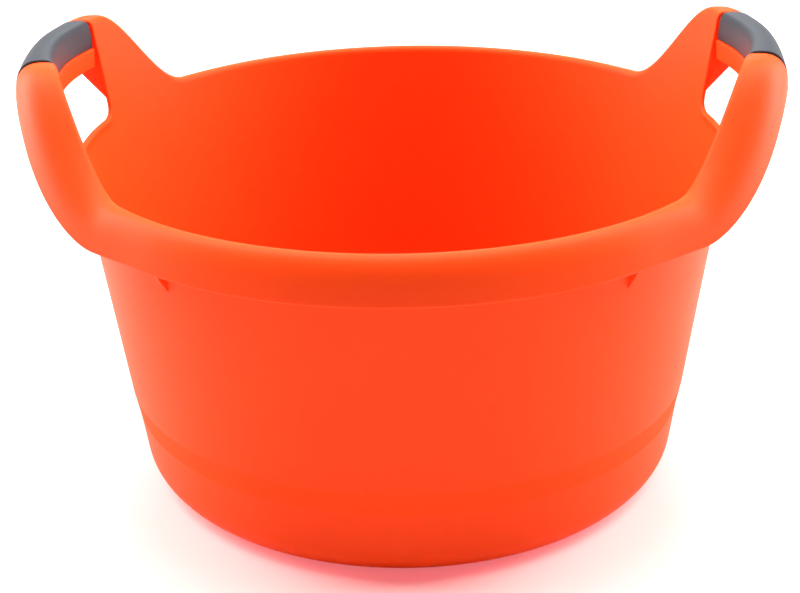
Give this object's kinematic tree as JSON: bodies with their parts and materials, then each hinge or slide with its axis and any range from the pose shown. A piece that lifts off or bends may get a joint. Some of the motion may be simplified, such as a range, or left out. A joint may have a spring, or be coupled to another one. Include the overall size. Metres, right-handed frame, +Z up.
{
  "type": "basin",
  "caption": "Deep round wash basin with a turned-down rim and raised handles that carry soft grips.",
  "frame": {"origin": "on the basin's axis, in the plane of the foot ring that it stands on", "axes": "+Z up along the basin's axis; +X through the middle of the right handle; +Y level and square to the line of the handles"},
  "size_m": [0.466, 0.4302, 0.2836],
  "materials": {
    "tub": "smooth moulded polypropylene with a soft gloss",
    "grip": "satin soft-touch rubber"
  },
  "bodies": {
    "root": {"tub": "tub", "grip_left": "grip", "grip_right": "grip"}
  },
  "joints": []
}
